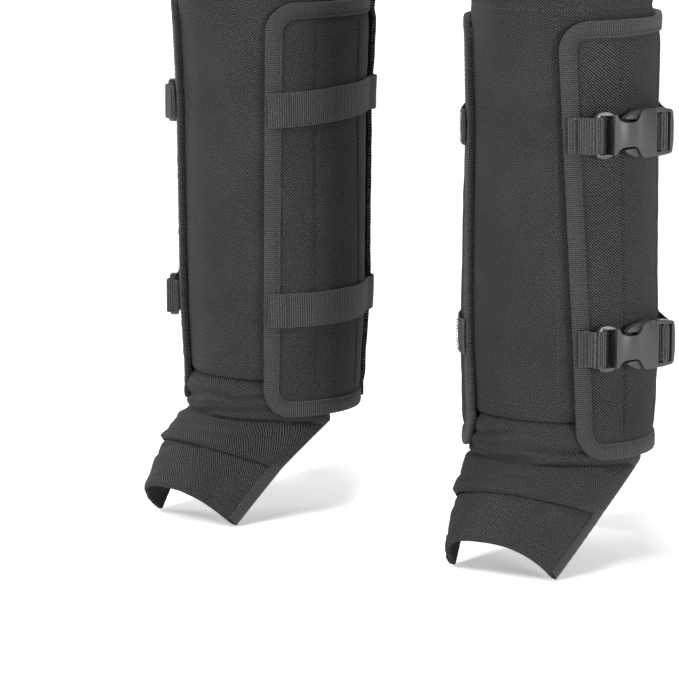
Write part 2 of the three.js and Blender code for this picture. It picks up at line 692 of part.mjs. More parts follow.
function gaiter(side) {
  const group = new THREE.Group();
  const name = (what) => `${side}_${what}`;
  const medialOffset = () => MEDIAL_OFFSET;
  group.add(piece(name('front_shell'), frontShell(), shellFabric));
  group.add(piece(name('shin_liner'), shinLiner(), linerFabric));

  // the inner wing is drawn on the outer side and mirrored across the leg
  const medialWing = mirroredAcross(wing(MEDIAL_EDGE, MEDIAL_WRAP, medialOffset));
  group.add(piece(name('medial_wing'), medialWing, shellFabric));
  const medialTape = mirroredAcross(wingBinding(MEDIAL_EDGE, MEDIAL_BINDING_END, medialOffset));
  group.add(piece(name('medial_wing_binding'), medialTape, bindingTape));
  group.add(piece(name('lateral_wing'), wing(LATERAL_EDGE, LATERAL_WRAP, lateralOffset), shellFabric));
  const lateralTape = wingBinding(LATERAL_EDGE, LATERAL_BINDING_END, lateralOffset);
  group.add(piece(name('lateral_wing_binding'), lateralTape, bindingTape));
  group.add(piece(name('loop_tape'), closureTape(LOOP_OFFSET), hookTape));
  group.add(piece(name('hook_tape'), closureTape(HOOK_OFFSET), hookTape));

  const upperPuff = ankleBand(0, BAND_SHARE, PUFF_THICKNESS, UPPER_PUFF_SWELL);
  const lowerPuff = ankleBand(1, 1 + BAND_SHARE, PUFF_THICKNESS, LOWER_PUFF_SWELL);
  group.add(piece(name('upper_ankle_puff'), upperPuff, shellFabric));
  group.add(piece(name('lower_ankle_puff'), lowerPuff, shellFabric));
  group.add(piece(name('instep_cover'), ankleBand(2, 3, COVER_THICKNESS, COVER_SWELL), shellFabric));
  group.add(piece(name('lateral_side_tape'), sideTape(1), bindingTape));
  group.add(piece(name('medial_side_tape'), sideTape(-1), bindingTape));

  group.add(strapSet(side, 'upper', UPPER_STRAP_Z));
  group.add(strapSet(side, 'lower', LOWER_STRAP_Z));
  return group;
}

// ---- the pair ------------------------------------------------------------------------------------

const pair = new THREE.Group();
for (const [side, way] of [['left', 1], ['right', -1]]) {
  const one = gaiter(side);
  one.rotation.z = THREE.MathUtils.degToRad(TOE_OUT);
  one.position.x = LEG_SPACING / 2;
  const mirror = new THREE.Group();
  mirror.scale.x = way;
  mirror.add(one);
  pair.add(mirror);
}

export default pair;
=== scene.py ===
import math

import bmesh
import bpy
import numpy as np
from mathutils import Matrix, Vector, noise

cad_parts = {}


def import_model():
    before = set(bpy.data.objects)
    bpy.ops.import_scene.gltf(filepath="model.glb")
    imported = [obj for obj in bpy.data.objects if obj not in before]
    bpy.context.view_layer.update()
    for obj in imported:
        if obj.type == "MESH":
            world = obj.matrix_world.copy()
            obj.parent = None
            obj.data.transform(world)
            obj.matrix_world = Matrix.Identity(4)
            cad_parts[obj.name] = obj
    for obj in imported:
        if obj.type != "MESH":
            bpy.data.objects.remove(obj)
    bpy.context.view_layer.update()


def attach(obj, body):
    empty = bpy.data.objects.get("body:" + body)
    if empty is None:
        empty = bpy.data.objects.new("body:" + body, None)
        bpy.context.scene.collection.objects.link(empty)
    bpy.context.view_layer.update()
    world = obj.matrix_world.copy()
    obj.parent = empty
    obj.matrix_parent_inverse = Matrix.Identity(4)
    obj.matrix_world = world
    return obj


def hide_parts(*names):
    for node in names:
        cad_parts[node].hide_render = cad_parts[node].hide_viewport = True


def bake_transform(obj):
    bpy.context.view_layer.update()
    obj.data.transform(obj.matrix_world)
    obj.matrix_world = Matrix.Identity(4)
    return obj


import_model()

# ---- sizes, in millimetres, the same as the CAD's ------------------------------------------

MM = 0.001
LEG_SPACING = 257
TOE_OUT = 12.5
STATIONS = ((103, 63.5, 60), (156, 65, 64), (302, 61.5, 68), (398, 62.5, 74))  # z, half width, half depth
TOP_Z = 398
HEM_Z = 103
SHELL_REACH = 100
LINER_REACH = 84
WING_THICKNESS = 4
WING_TOP_Z = 378
WING_BOTTOM_Z = 77
WING_CORNER = 20
LATERAL_EDGE = 29
MEDIAL_EDGE = 47
WRAP = 205
BINDING_WIDTH = 10.5
GAP = 0.4
STRAP_WIDTH = 25
STRAP_THICKNESS = 1.6
STRAPS = {"upper": 302, "lower": 156}
BUCKLE_ANGLE = 60
BUCKLE_THICKNESS = 9.6
FEMALE_OVERHANG = 24
MOUTH = 22
BODY_START = -12.4
LOOP_TILT = 12
ANKLE_TWIST = 6.5
MALE_LENGTH = 16
DEGREES_PER_MM = 180 / (math.pi * 65.5)
CORNER_ANGLE = WING_CORNER * DEGREES_PER_MM
WING_FACE = GAP + WING_THICKNESS
LOOP_OFFSET = WING_FACE + GAP
HOOK_OFFSET = LOOP_OFFSET + 1 + GAP
REAR_OFFSET = HOOK_OFFSET + 1 + GAP
CLIMB_START = 360 - WRAP - 40
CLIMB_END = 360 - WRAP - 6
STRAP_END = 236          # degrees round the inner way at which a long strap leaves the calf
BINDING_END = 200        # degrees round at which a wing's bound edge ends
TOP_STITCH_DROP = 12     # below the shell's rim
HEM_STITCH_RISE = 11     # above the shell's hem
SHELL_SEAM_ANGLE = 20
CLOTH_LEVEL = 250        # the height at which cloth coordinates are measured
LEAN_FADE = (14, 48)     # degrees from the edge over which its lean dies away
CREASES = (22, 60)       # a wing's upright creases, in degrees from the binding
WING_COLUMNS, WING_ROWS = 92, 118
BINDING_FACE = 0.9       # how far the bound edge stands out from the wing
STITCH_BOX_INSET = 1.4   # of the sewn box from the strap's end
ANKLE_HALF_GIRTH = 105
BAND_DEPTH = 34
FALL_POWER = 1.8         # how the ankle's lines fall from front to side
SQUARENESS = 0.12
HEM_STITCH_STAGE = 2.77  # along the ankle's stages
CLOSURE_HALF_ANGLE = 14
CLOSURE_THICKNESS = 1
CLOSURE_INSET = 30

# ---- the leg's oval and the two gaiters' places ---------------------------------------------


def smoothstep(x, low, high):
    share = min(max((x - low) / (high - low), 0), 1)
    return share * share * (3 - 2 * share)


def lerp(a, b, share):
    return a + (b - a) * share


def oval(z):
    z = min(max(z, STATIONS[0][0]), STATIONS[-1][0])
    for low, high in zip(STATIONS, STATIONS[1:]):
        if z <= high[0]:
            share = (z - low[0]) / (high[0] - low[0])
            return lerp(low[1], high[1], share), lerp(low[2], high[2], share)


def on_leg(degrees, z, offset):
    half_width, half_depth = oval(z)
    angle = math.radians(degrees)
    return Vector(((half_width + offset) * math.sin(angle), -(half_depth + offset) * math.cos(angle), z))


def outwards(degrees, z):
    half_width, half_depth = oval(z)
    angle = math.radians(degrees)
    return Vector((math.sin(angle) / half_width, -math.cos(angle) / half_depth, 0)).normalized()


def side_matrix(side):
    mirror = Matrix.Scale(-1, 4, (1, 0, 0)) if side == "right" else Matrix.Identity(4)
    place = Matrix.Translation((LEG_SPACING / 2, 0, 0)) @ Matrix.Rotation(math.radians(TOE_OUT), 4, "Z")
    return Matrix.Scale(MM, 4) @ mirror @ place


def world(side, point):
    return side_matrix(side) @ Vector(point)


# how far a wing's sewn edge leans round the leg, in degrees at its bottom and top corners
LEAN = {"lateral": (2.5, -6.5), "medial": (-2.5, 5.0)}


def leaning(kind, angle, z):
    low, high = LEAN[kind]
    edge = LATERAL_EDGE if kind == "lateral" else MEDIAL_EDGE
    share = (z - WING_BOTTOM_Z - WING_CORNER) / (WING_TOP_Z - WING_BOTTOM_Z - 2 * WING_CORNER)
    return angle + lerp(low, high, share) * (1 - smoothstep(angle, edge + LEAN_FADE[0], edge + LEAN_FADE[1]))


def rumple(a, b, seed, size):
    """Smooth unevenness of cloth, between about -1 and 1."""
    return noise.noise(Vector((a / size, b / size, seed)))


# ---- meshes ---------------------------------------------------------------------------------


def make_object(name, side, points, faces, coords, material, smooth_angle=50):
    """A mesh object from points in a gaiter's own millimetres; coords are cloth coordinates in mm."""
    mesh = bpy.data.meshes.new(name)
    matrix = side_matrix(side)
    mesh.from_pydata([matrix @ Vector(p) for p in points], [], faces)
    if coords is not None:
        layer = mesh.attributes.new("cloth", "FLOAT_VECTOR", "POINT")
        flat = np.array([(c[0], c[1], 0.0) for c in coords], np.float32).ravel() * MM
        layer.data.foreach_set("vector", flat)
    bm = bmesh.new()
    bm.from_mesh(mesh)
    bmesh.ops.recalc_face_normals(bm, faces=bm.faces)
    bm.to_mesh(mesh)
    bm.free()
    mesh.materials.append(material)
    mesh.shade_smooth()
    mesh.set_sharp_from_angle(angle=math.radians(smooth_angle))
    obj = bpy.data.objects.new(name, mesh)
    bpy.context.scene.collection.objects.link(obj)
    return obj


def thick_grid(name, side, grid, thickness, coords, material, centre=None):
    """A closed cloth solid: grid[i][j] is its outer face, and its inner face lies thickness further in."""
    outer = np.array([[tuple(p) for p in row] for row in grid], float)
    along, across = np.gradient(outer, axis=0), np.gradient(outer, axis=1)
    normals = np.cross(along, across)
    normals /= np.linalg.norm(normals, axis=2, keepdims=True) + 1e-9
    middle = np.array(centre if centre is not None else (0, 0, 0), float)
    radial = outer - middle
    radial[..., 2] = 0
    if (normals * radial).sum() < 0:
        normals = -normals
    inner = outer - normals * thickness
    rows, columns = outer.shape[:2]
    count = rows * columns
    points = np.concatenate([outer.reshape(-1, 3), inner.reshape(-1, 3)])
    faces = []
    for i in range(rows - 1):
        for j in range(columns - 1):
            a, b = i * columns + j, (i + 1) * columns + j
            faces.append((a, b, b + 1, a + 1))
            faces.append((count + a, count + a + 1, count + b + 1, count + b))
    rim = [(i, 0) for i in range(rows)] + [(rows - 1, j) for j in range(1, columns)]
    rim += [(i, columns - 1) for i in range(rows - 2, -1, -1)] + [(0, j) for j in range(columns - 2, 0, -1)]
    ring = [i * columns + j for i, j in rim]
    for a, b in zip(ring, ring[1:] + ring[:1]):
        faces.append((a, count + a, count + b, b))
    flat = [c for row in coords for c in row]
    return make_object(name, side, points.tolist(), faces, flat + flat, material)


def arc_length(z, degrees):
    half_width, half_depth = oval(z)
    return math.radians(degrees) * (half_width + half_depth) / 2


def wrapped_cloth(name, side, edge, wrap, low, high, offset, thickness, material, sign=1, cell=3.2):
    """A panel round the leg. sign -1 puts it on the inner side."""
    columns = max(8, int(abs(wrap - edge) / DEGREES_PER_MM / cell))
    rows = max(3, int((high(wrap) - low(wrap)) / cell))
    grid, coords = [], []
    for i in range(columns + 1):
        share = i / columns
        angle = edge + (wrap - edge) * share
        line, uv = [], []
        for j in range(rows + 1):
            z = lerp(low(angle), high(angle), j / rows)
            line.append(on_leg(sign * angle, z, offset(angle, z)))
            uv.append((arc_length(CLOTH_LEVEL, angle), z))
        grid.append(line)
        coords.append(uv)
    return thick_grid(name, side, grid, thickness, coords, material)


def stitches(name, side, path, material, length=2.3, pitch=3.4, radius=0.42):
    """A run of thread dashes along (point, outward direction) pairs, as one mesh."""
    points, faces = [], []
    travelled, target = 0.0, pitch
    for (a, out_a), (b, _) in zip(path, path[1:]):
        step = (b - a).length
        while step > 0 and target <= travelled + step:
            here = a.lerp(b, (target - travelled) / step)
            along = (b - a).normalized()
            out = out_a.normalized()
            across = along.cross(out)
            base = len(points)
            for share, size in ((-0.5, 0.35), (-0.3, 1), (0.3, 1), (0.5, 0.35)):
                for k in range(6):
                    turn = k * math.pi / 3
                    ring = across * math.cos(turn) + out * (math.sin(turn) * 0.8)
                    points.append(here + along * (share * length) + ring * (radius * size))
            for r in range(3):
                for k in range(6):
                    p, q = base + r * 6 + k, base + r * 6 + (k + 1) % 6
                    faces.append((p, q, q + 6, p + 6))
            faces.append(tuple(base + k for k in range(6)))
            faces.append(tuple(base + 18 + k for k in range(5, -1, -1)))
            target += pitch
        travelled += step
    return make_object(name, side, points, faces, None, material)


# ---- materials --------------------------------------------------------------------------------


class Nodes:
    """A small helper for building a node material."""

    def __init__(self, name):
        self.material = bpy.data.materials.new(name)
        self.material.use_nodes = True
        self.tree = self.material.node_tree
        self.shader = self.tree.nodes["Principled BSDF"]

    def add(self, kind, inputs=None, **settings):
        node = self.tree.nodes.new(kind)
        for key, value in settings.items():
            setattr(node, key, value)
        for key, value in (inputs or {}).items():
            self.put(node.inputs[key], value)
        return node

    def put(self, socket, value):
        if isinstance(value, bpy.types.NodeSocket):
            self.tree.links.new(value, socket)
        else:
            socket.default_value = value

    def math(self, operation, a, b=0.0, c=0.0):
        return self.add("ShaderNodeMath", {0: a, 1: b, 2: c}, operation=operation).outputs[0]

    def cloth_axes(self):
        found = self.add("ShaderNodeAttribute", attribute_name="cloth")
        split = self.add("ShaderNodeSeparateXYZ", {0: found.outputs["Vector"]})
        return found.outputs["Vector"], split.outputs[0], split.outputs[1]

    def ripple(self, value, pitch):
        """A wave between 0 and 1 along a coordinate in metres."""
        wave = self.math("SINE", self.math("MULTIPLY", value, 2 * math.pi / pitch))
        return self.math("MULTIPLY_ADD", wave, 0.5, 0.5)

    def noise(self, vector, scale, detail=3.0, roughness=0.55):
        inputs = {"Vector": vector, "Scale": scale, "Detail": detail, "Roughness": roughness}
        return self.add("ShaderNodeTexNoise", inputs).outputs["Fac"]

    def ramp(self, factor, low, high, start=0.0, end=1.0):
        node = self.add("ShaderNodeValToRGB", {"Fac": factor})
        first, last = node.color_ramp.elements
        first.position, last.position = start, end
        first.color, last.color = (*low, 1), (*high, 1)
        return node.outputs["Color"]

    def bump(self, height, distance, strength, normal=None):
        inputs = {"Height": height, "Distance": distance, "Strength": strength}
        if normal is not None:
            inputs["Normal"] = normal
        return self.add("ShaderNodeBump", inputs).outputs["Normal"]

    def object_vector(self):
        return self.add("ShaderNodeTexCoord").outputs["Object"]


def woven_material(name, dark, light, pitch, roughness, depth=0.00035, sheen=0.25):
    """A plain weave of thick yarns: two crossing ripples, uneven yarn by yarn."""
    n = Nodes(name)
    vector, along, up = n.cloth_axes()
    wobble = n.math("MULTIPLY", n.noise(vector, 90.0, 2.0), pitch * 0.9)
    s = n.math("ADD", along, wobble)
    t = n.math("ADD", up, wobble)
    lines, picks = n.ripple(n.math("SUBTRACT", s, t), pitch), n.ripple(n.math("ADD", s, t), pitch * 0.8)
    weave = n.math("MULTIPLY", lines, n.math("MULTIPLY_ADD", picks, 0.75, 0.25))
    grain = n.noise(vector, 900.0, 2.0, 0.7)
    patches = n.noise(vector, 14.0, 4.0)
    tone = n.math("MULTIPLY_ADD", weave, 0.8, n.math("MULTIPLY_ADD", grain, 1.1, -0.3))
    tone = n.math("ADD", tone, n.math("MULTIPLY_ADD", patches, 0.24, -0.12))
    n.put(n.shader.inputs["Base Color"], n.ramp(tone, dark, light, 0.3, 0.82))
    rough = n.math("MULTIPLY_ADD", grain, 0.14, roughness - 0.07)
    n.put(n.shader.inputs["Roughness"], rough)
    height = n.math("MULTIPLY_ADD", weave, 0.8, n.math("MULTIPLY", grain, 0.4))
    soft = n.bump(n.noise(vector, 45.0, 3.0), 0.0008, 0.35)
    n.put(n.shader.inputs["Normal"], n.bump(height, depth, 0.8, soft))
    n.shader.inputs["Sheen Weight"].default_value = sheen
    n.shader.inputs["Sheen Roughness"].default_value = 0.45
    n.shader.inputs["Specular IOR Level"].default_value = 0.1
    return n.material


def ribbed_material(name, dark, light, pitch, roughness, depth=0.0004):
    """Tape or webbing with ribs across its length."""
    n = Nodes(name)
    vector, along, across = n.cloth_axes()
    rib = n.ripple(along, pitch)
    yarn = n.ripple(n.math("ADD", across, n.math("MULTIPLY", along, 0.5)), pitch * 0.62)
    grain = n.noise(vector, 1100.0, 2.0, 0.7)
    tone = n.math("MULTIPLY_ADD", rib, 0.45, n.math("MULTIPLY", yarn, 0.3))
    tone = n.math("ADD", tone, n.math("MULTIPLY_ADD", grain, 1.6, -0.55))
    n.put(n.shader.inputs["Base Color"], n.ramp(tone, dark, light, 0.3, 0.95))
    n.put(n.shader.inputs["Roughness"], n.math("MULTIPLY_ADD", grain, 0.15, roughness - 0.07))
    height = n.math("MULTIPLY_ADD", rib, 0.8, n.math("MULTIPLY", yarn, 0.3))
    n.put(n.shader.inputs["Normal"], n.bump(height, depth, 0.9))
    n.shader.inputs["Sheen Weight"].default_value = 0.1
    n.shader.inputs["Specular IOR Level"].default_value = 0.12
    return n.material


def plastic_material(name):
    """Satin moulded plastic with a fine spark texture and a painted highlight along its edges."""
    n = Nodes(name)
    vector = n.object_vector()
    spark = n.noise(vector, 1600.0, 3.0, 0.6)
    cloudy = n.noise(vector, 60.0, 4.0)
    edge = n.add("ShaderNodeNewGeometry").outputs["Pointiness"]
    # painted highlight: the colour is made lighter along sharp convex edges, standing in for rims catching
    # the light
    painted_edge_highlight = n.add("ShaderNodeMapRange", {"Value": edge, "From Min": 0.5, "From Max": 0.62}).outputs[0]
    tone = n.math("MULTIPLY_ADD", painted_edge_highlight, 0.6, n.math("MULTIPLY", cloudy, 0.5))
    colour = n.ramp(tone, (0.012, 0.0124, 0.0135), (0.04, 0.041, 0.043))
    n.put(n.shader.inputs["Base Color"], colour)
    n.put(n.shader.inputs["Roughness"], n.math("MULTIPLY_ADD", cloudy, 0.14, 0.33))
    n.put(n.shader.inputs["Normal"], n.bump(spark, 0.00012, 0.35))
    n.shader.inputs["Specular IOR Level"].default_value = 0.6
    return n.material


def thread_material(name):
    n = Nodes(name)
    grain = n.noise(n.object_vector(), 2500.0, 2.0)
    n.put(n.shader.inputs["Base Color"], n.ramp(grain, (0.008, 0.0082, 0.0088), (0.035, 0.036, 0.038)))
    n.put(n.shader.inputs["Normal"], n.bump(grain, 0.0001, 0.6))
    n.shader.inputs["Roughness"].default_value = 0.7
    return n.material


def pile_material(name):
    """Hook-and-loop tape: a dense, matt, uneven pile."""
    n = Nodes(name)
    vector = n.object_vector()
    pile = n.noise(vector, 1400.0, 4.0, 0.8)
    n.put(n.shader.inputs["Base Color"], n.ramp(pile, (0.006, 0.006, 0.007), (0.03, 0.03, 0.032), 0.3, 0.8))
    n.put(n.shader.inputs["Normal"], n.bump(pile, 0.0006, 1.0))
    n.shader.inputs["Roughness"].default_value = 0.95
    return n.material


SHELL_CLOTH = woven_material("shell_cloth", (0.0008, 0.0008, 0.001), (0.082, 0.084, 0.087), 0.0021, 0.85,
                             0.0008, 0.02)
LINER_CLOTH = woven_material("liner_cloth", (0.003, 0.003, 0.0035), (0.016, 0.016, 0.018), 0.0012, 0.9)
TAPE_CLOTH = ribbed_material("edge_tape", (0.0008, 0.0008, 0.001), (0.075, 0.077, 0.08), 0.0014, 0.85, 0.0004)
WEBBING = ribbed_material("webbing", (0.001, 0.001, 0.0012), (0.085, 0.087, 0.09), 0.0017, 0.8, 0.0006)
PLASTIC = plastic_material("buckle_plastic")
THREAD = thread_material("thread")
PILE = pile_material("closure_pile")

# ---- one place that ties a piece to the frame ----------------------------------------------------


def place(obj, body, slot, *nodes, pad=None):
    if nodes:
        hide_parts(*nodes)
    if body is not None:
        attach(obj, body)
    return obj


# ---- camera, floor and light -----------------------------------------------------------------------

CAMERA_AZIMUTH = 36.1
CAMERA_DISTANCE = 2.379
CAMERA_HEIGHT = 0.560
LOOK_AZIMUTH = 37.35
LOOK_DOWN = 10.1
LENS = 176.7
FLOOR_GLOW = 0.32
BACKDROP_GLOW = 0.95
WORLD_STRENGTH = 0.16


def build_camera():
    camera = bpy.data.objects.new("camera", bpy.data.cameras.new("camera"))
    azimuth = math.radians(CAMERA_AZIMUTH)
    across, back = CAMERA_DISTANCE * math.sin(azimuth), -CAMERA_DISTANCE * math.cos(azimuth)
    camera.location = (across, back, CAMERA_HEIGHT)
    camera.rotation_euler = (math.radians(90 - LOOK_DOWN), 0, math.radians(LOOK_AZIMUTH))
    camera.data.lens = LENS
    camera.data.sensor_width = 36
    camera.data.clip_end = 50
    bpy.context.scene.collection.objects.link(camera)
    bpy.context.scene.camera = camera


def area_light(name, size, power, location, target=(0, 0, 0.2)):
    light = bpy.data.lights.new(name, "AREA")
    light.shape, light.size, light.energy = "DISK", size, power
    obj = bpy.data.objects.new(name, light)
    obj.location = location
    obj.rotation_euler = (Vector(target) - Vector(location)).to_track_quat("-Z", "Y").to_euler()
    bpy.context.scene.collection.objects.link(obj)


def stage_plane(name, corners, glow):
    mesh = bpy.data.meshes.new(name)
    mesh.from_pydata(corners, [], [(0, 1, 2, 3)])
    n = Nodes(name)
    n.shader.inputs["Base Color"].default_value = (0.93, 0.93, 0.93, 1)
    n.shader.inputs["Roughness"].default_value = 0.85
    n.shader.inputs["Specular IOR Level"].default_value = 0.1
    n.shader.inputs["Emission Color"].default_value = (1, 1, 1, 1)
    n.shader.inputs["Emission Strength"].default_value = glow
    mesh.materials.append(n.material)
    plane = bpy.data.objects.new(name, mesh)
    bpy.context.scene.collection.objects.link(plane)


def build_studio():
    half, under = 7.0, -0.001
    ground = [(-half, -half, under), (half, -half, under), (half, half, under), (-half, half, under)]
    stage_plane("floor", ground, FLOOR_GLOW)
    far, wide, tall = 4.5, 6.0, 5.0
    turn = Matrix.Rotation(math.radians(LOOK_AZIMUTH), 3, "Z")
    wall = [(-wide, far, under), (wide, far, under), (wide, far, tall), (-wide, far, tall)]
    stage_plane("backdrop", [turn @ Vector(corner) for corner in wall], BACKDROP_GLOW)
    background = bpy.data.worlds.new("studio")
    background.use_nodes = True
    background.node_tree.nodes["Background"].inputs["Color"].default_value = (1, 1, 1, 1)
    background.node_tree.nodes["Background"].inputs["Strength"].default_value = WORLD_STRENGTH
    bpy.context.scene.world = background
    area_light("key", 0.8, 60, (-0.5, -2.1, 1.8))
    area_light("top", 0.5, 22, (0.5, -0.5, 2.6))
    area_light("rim_left", 0.8, 16, (-1.9, 0.2, 0.9))
    area_light("right", 0.6, 42, (2.4, -0.5, 0.5))
    bpy.context.scene.view_settings.view_transform = "Standard"


# ---- the front shell -----------------------------------------------------------------------------


def shell_offset(seed):
    def offset(angle, z):
        soft = 0.9 * rumple(angle * 0.6, z * 0.35, seed, 38) + 0.35 * rumple(angle, z, seed + 5, 15)
        hem = math.exp(-((z - HEM_Z - HEM_STITCH_RISE) / 1.3) ** 2)
        hem += math.exp(-((z - TOP_Z + TOP_STITCH_DROP) / 1.3) ** 2)
        roll = math.exp(-((z - HEM_Z) / 1.6) ** 2) + math.exp(-((TOP_Z - z) / 1.6) ** 2)
        return soft - 0.45 * hem - 0.9 * roll - 0.6
    return offset


def build_shell(side, seed):
    body = f"{side}_gaiter"
    offset = shell_offset(seed)
    cloth = wrapped_cloth(f"{side}_front_shell_cloth", side, -SHELL_REACH, SHELL_REACH, lambda a: HEM_Z,
                          lambda a: TOP_Z, offset, 3.0, SHELL_CLOTH, cell=2.4)
    place(cloth, body, "shell_fabric", f"{side}_front_shell", pad=0.3)
    lining = wrapped_cloth(f"{side}_shin_lining", side, -LINER_REACH, LINER_REACH, lambda a: HEM_Z + 9,
                           lambda a: TOP_Z - 9, lambda a, z: -4.5 + 0.3 * rumple(a, z, seed, 20), 1.9,
                           LINER_CLOTH)
    place(lining, body, "liner_fabric", f"{side}_shin_liner", pad=0.2)
    at = SHELL_SEAM_ANGLE
    heights = range(HEM_Z + 12, TOP_Z - 12, 4)
    seam = [(on_leg(at, z, offset(at, z) + 0.05), outwards(at, z)) for z in heights]
    place(stitches(f"{side}_shell_seam_stitches", side, seam, THREAD), body, "shell_fabric")
    for z, label in ((HEM_Z + HEM_STITCH_RISE, "hem"), (TOP_Z - TOP_STITCH_DROP, "top")):
        path = [(on_leg(a, z, offset(a, z) + 0.1), outwards(a, z)) for a in range(-96, 97, 3)]
        place(stitches(f"{side}_shell_{label}_stitches", side, path, THREAD), body, "shell_fabric")


# ---- the wings -----------------------------------------------------------------------------------


def lateral_base(angle):
    return lerp(GAP, REAR_OFFSET, smoothstep(angle, CLIMB_START, CLIMB_END))


def corner_inset(from_edge):
    reach = min(max(from_edge / CORNER_ANGLE, 0), 1)
    return WING_CORNER * (1 - math.sqrt(1 - (1 - reach) ** 2))


def wing_surface(edge, base, seed):
    """Outer face: padded between its seams, with two soft upright creases."""
    seam = edge + (BINDING_WIDTH + 1) * DEGREES_PER_MM

    def offset(angle, z):
        face = base(angle) + WING_THICKNESS
        from_rim = min((angle - edge) / DEGREES_PER_MM, z - WING_BOTTOM_Z, WING_TOP_Z - z)
        pillow = 1 - math.exp(-(max(from_rim - BINDING_WIDTH + 0.5, 0) / 5) ** 1.5)
        creases = sum(math.exp(-((angle - seam - more) / 0.9) ** 2) for more in CREASES)
        soft = 0.8 * rumple(angle * 0.7, z * 0.4, seed, 34) + 0.4 * rumple(angle, z, seed + 3, 13)
        return face - 1.7 + pillow * (1.7 + soft) - 1.5 * creases * pillow
    return offset


def build_wing(side, kind, seed):
    lateral = kind == "lateral"
    edge = LATERAL_EDGE if lateral else MEDIAL_EDGE
    sign = 1 if lateral else -1
    base = lateral_base if lateral else (lambda angle: GAP)
    body = f"{side}_wing" if lateral else f"{side}_gaiter"
    surface = wing_surface(edge, base, seed)
    grid, coords = [], []
    for i in range(WING_COLUMNS + 1):
        share = i / WING_COLUMNS
        angle = edge + (WRAP - edge) * (0.55 * share + 0.45 * share * share)
        inset = corner_inset(angle - edge)
        low, high = WING_BOTTOM_Z + inset, WING_TOP_Z - inset
        line = [lerp(low, high, j / WING_ROWS) for j in range(WING_ROWS + 1)]
        grid.append([on_leg(sign * leaning(kind, angle, z), z, surface(angle, z)) for z in line])
        coords.append([(-arc_length(CLOTH_LEVEL, angle) * sign, z) for z in line])
    cloth = thick_grid(f"{side}_{kind}_wing_cloth", side, grid, 2.9, coords, SHELL_CLOTH)
    place(cloth, body, "shell_fabric", f"{side}_{kind}_wing", pad=0.35)
    build_binding(side, kind, edge, sign, base, body, seed)


def binding_path(edge, end):
    """(rim angle, rim z, inner angle, inner z) down the bottom, up the front and back along the top."""
    centre = edge + CORNER_ANGLE
    inner_radius = WING_CORNER - BINDING_WIDTH

    def half(way):
        rim = WING_TOP_Z if way > 0 else WING_BOTTOM_Z
        run = []
        steps = int((end - centre) / 2.2)
        for i in range(steps):
            angle = lerp(end, centre, i / steps)
            run.append((angle, rim, angle, rim - way * BINDING_WIDTH))
        for i in range(13):
            turn = math.radians(90 * i / 12)
            swing, lift = DEGREES_PER_MM * math.sin(turn), way * math.cos(turn)
            z = rim - way * WING_CORNER
            run.append((centre - WING_CORNER * swing, z + WING_CORNER * lift,
                        centre - inner_radius * swing, z + inner_radius * lift))
        return run
    inner_edge = edge + BINDING_WIDTH * DEGREES_PER_MM
    low, high = WING_BOTTOM_Z + WING_CORNER, WING_TOP_Z - WING_CORNER
    column = [(edge, lerp(low, high, i / 104), inner_edge, lerp(low, high, i / 104)) for i in range(1, 104)]
    return half(-1) + column + half(1)[::-1]


# distance in from the rim, and height over the panel's face, across the folded tape
TAPE_PROFILE = ((-0.1, -3.6), (-0.75, -2.4), (-0.95, -1.1), (-0.6, 0.1), (0.4, 0.6), (2.6, 0.72),
                (5.2, 0.66), (6.9, 0.5), (7.9, -0.05), (8.5, -0.1), (9.3, 0.35), (10.2, 0.2), (10.6, -1.3))


def build_binding(side, kind, edge, sign, base, body, seed):
    grid, coords, seam = [], [], []
    length = 0.0
    last = None
    path = binding_path(edge, BINDING_END)
    for step, (rim_angle, rim_z, in_angle, in_z) in enumerate(path):
        line, uv = [], []
        here = on_leg(sign * rim_angle, rim_z, base(rim_angle) + WING_THICKNESS)
        length += (here - last).length if last is not None else 0
        last = here
        pucker = 0.16 * math.sin(length * 1.9 + 2 * rumple(length, 3, seed, 9))
        pucker += 0.45 * rumple(length, 0, seed, 7)
        for inward, height in TAPE_PROFILE:
            share = inward / BINDING_WIDTH
            angle = lerp(rim_angle, in_angle, share)
            z = lerp(rim_z, in_z, share)
            lift = height + (pucker if 1 < inward < 8 else 0)
            turned = sign * leaning(kind, angle, z)
            line.append(on_leg(turned, z, base(angle) + WING_THICKNESS + lift - 0.2))
            uv.append((length, inward))
        grid.append(line)
        coords.append(uv)
        angle, z = lerp(rim_angle, in_angle, 0.78), lerp(rim_z, in_z, 0.78)
        turned = sign * leaning(kind, angle, z)
        seam.append((on_leg(turned, z, base(angle) + WING_THICKNESS + 0.05), outwards(turned, z)))
    tape = thick_grid(f"{side}_{kind}_binding_tape", side, grid, 0.5, coords, TAPE_CLOTH)
    place(tape, body, "binding_tape", f"{side}_{kind}_wing_binding")
    place(stitches(f"{side}_{kind}_binding_stitches", side, seam, THREAD), body, "binding_tape")


def build_closure(side):
    """The hook and loop tapes behind the calf."""
    start, end = 180 - CLOSURE_HALF_ANGLE, 180 + CLOSURE_HALF_ANGLE
    for kind, offset, body in (("loop", LOOP_OFFSET, "gaiter"), ("hook", HOOK_OFFSET, "wing")):
        face = offset + CLOSURE_THICKNESS
        tape = wrapped_cloth(f"{side}_{kind}_tape_pile", side, start, end,
                             lambda a: WING_BOTTOM_Z + CLOSURE_INSET, lambda a: WING_TOP_Z - CLOSURE_INSET,
                             lambda a, z: face + 0.05 * rumple(a, z, 3, 4), 0.95, PILE)
        place(tape, f"{side}_{body}", "closure_tape", f"{side}_{kind}_tape")


# ---- the ankle --------------------------------------------------------------------------------------

# front, side, back and the two heights at four stages from the shell's hem to the lowest hem
ANKLE = ((57, 58.5, 0, 102.6, 102.6), (60, 58.5, 4, 74, 70), (84, 51, -40, 58, 39), (110, 39, -80, 27, 0))


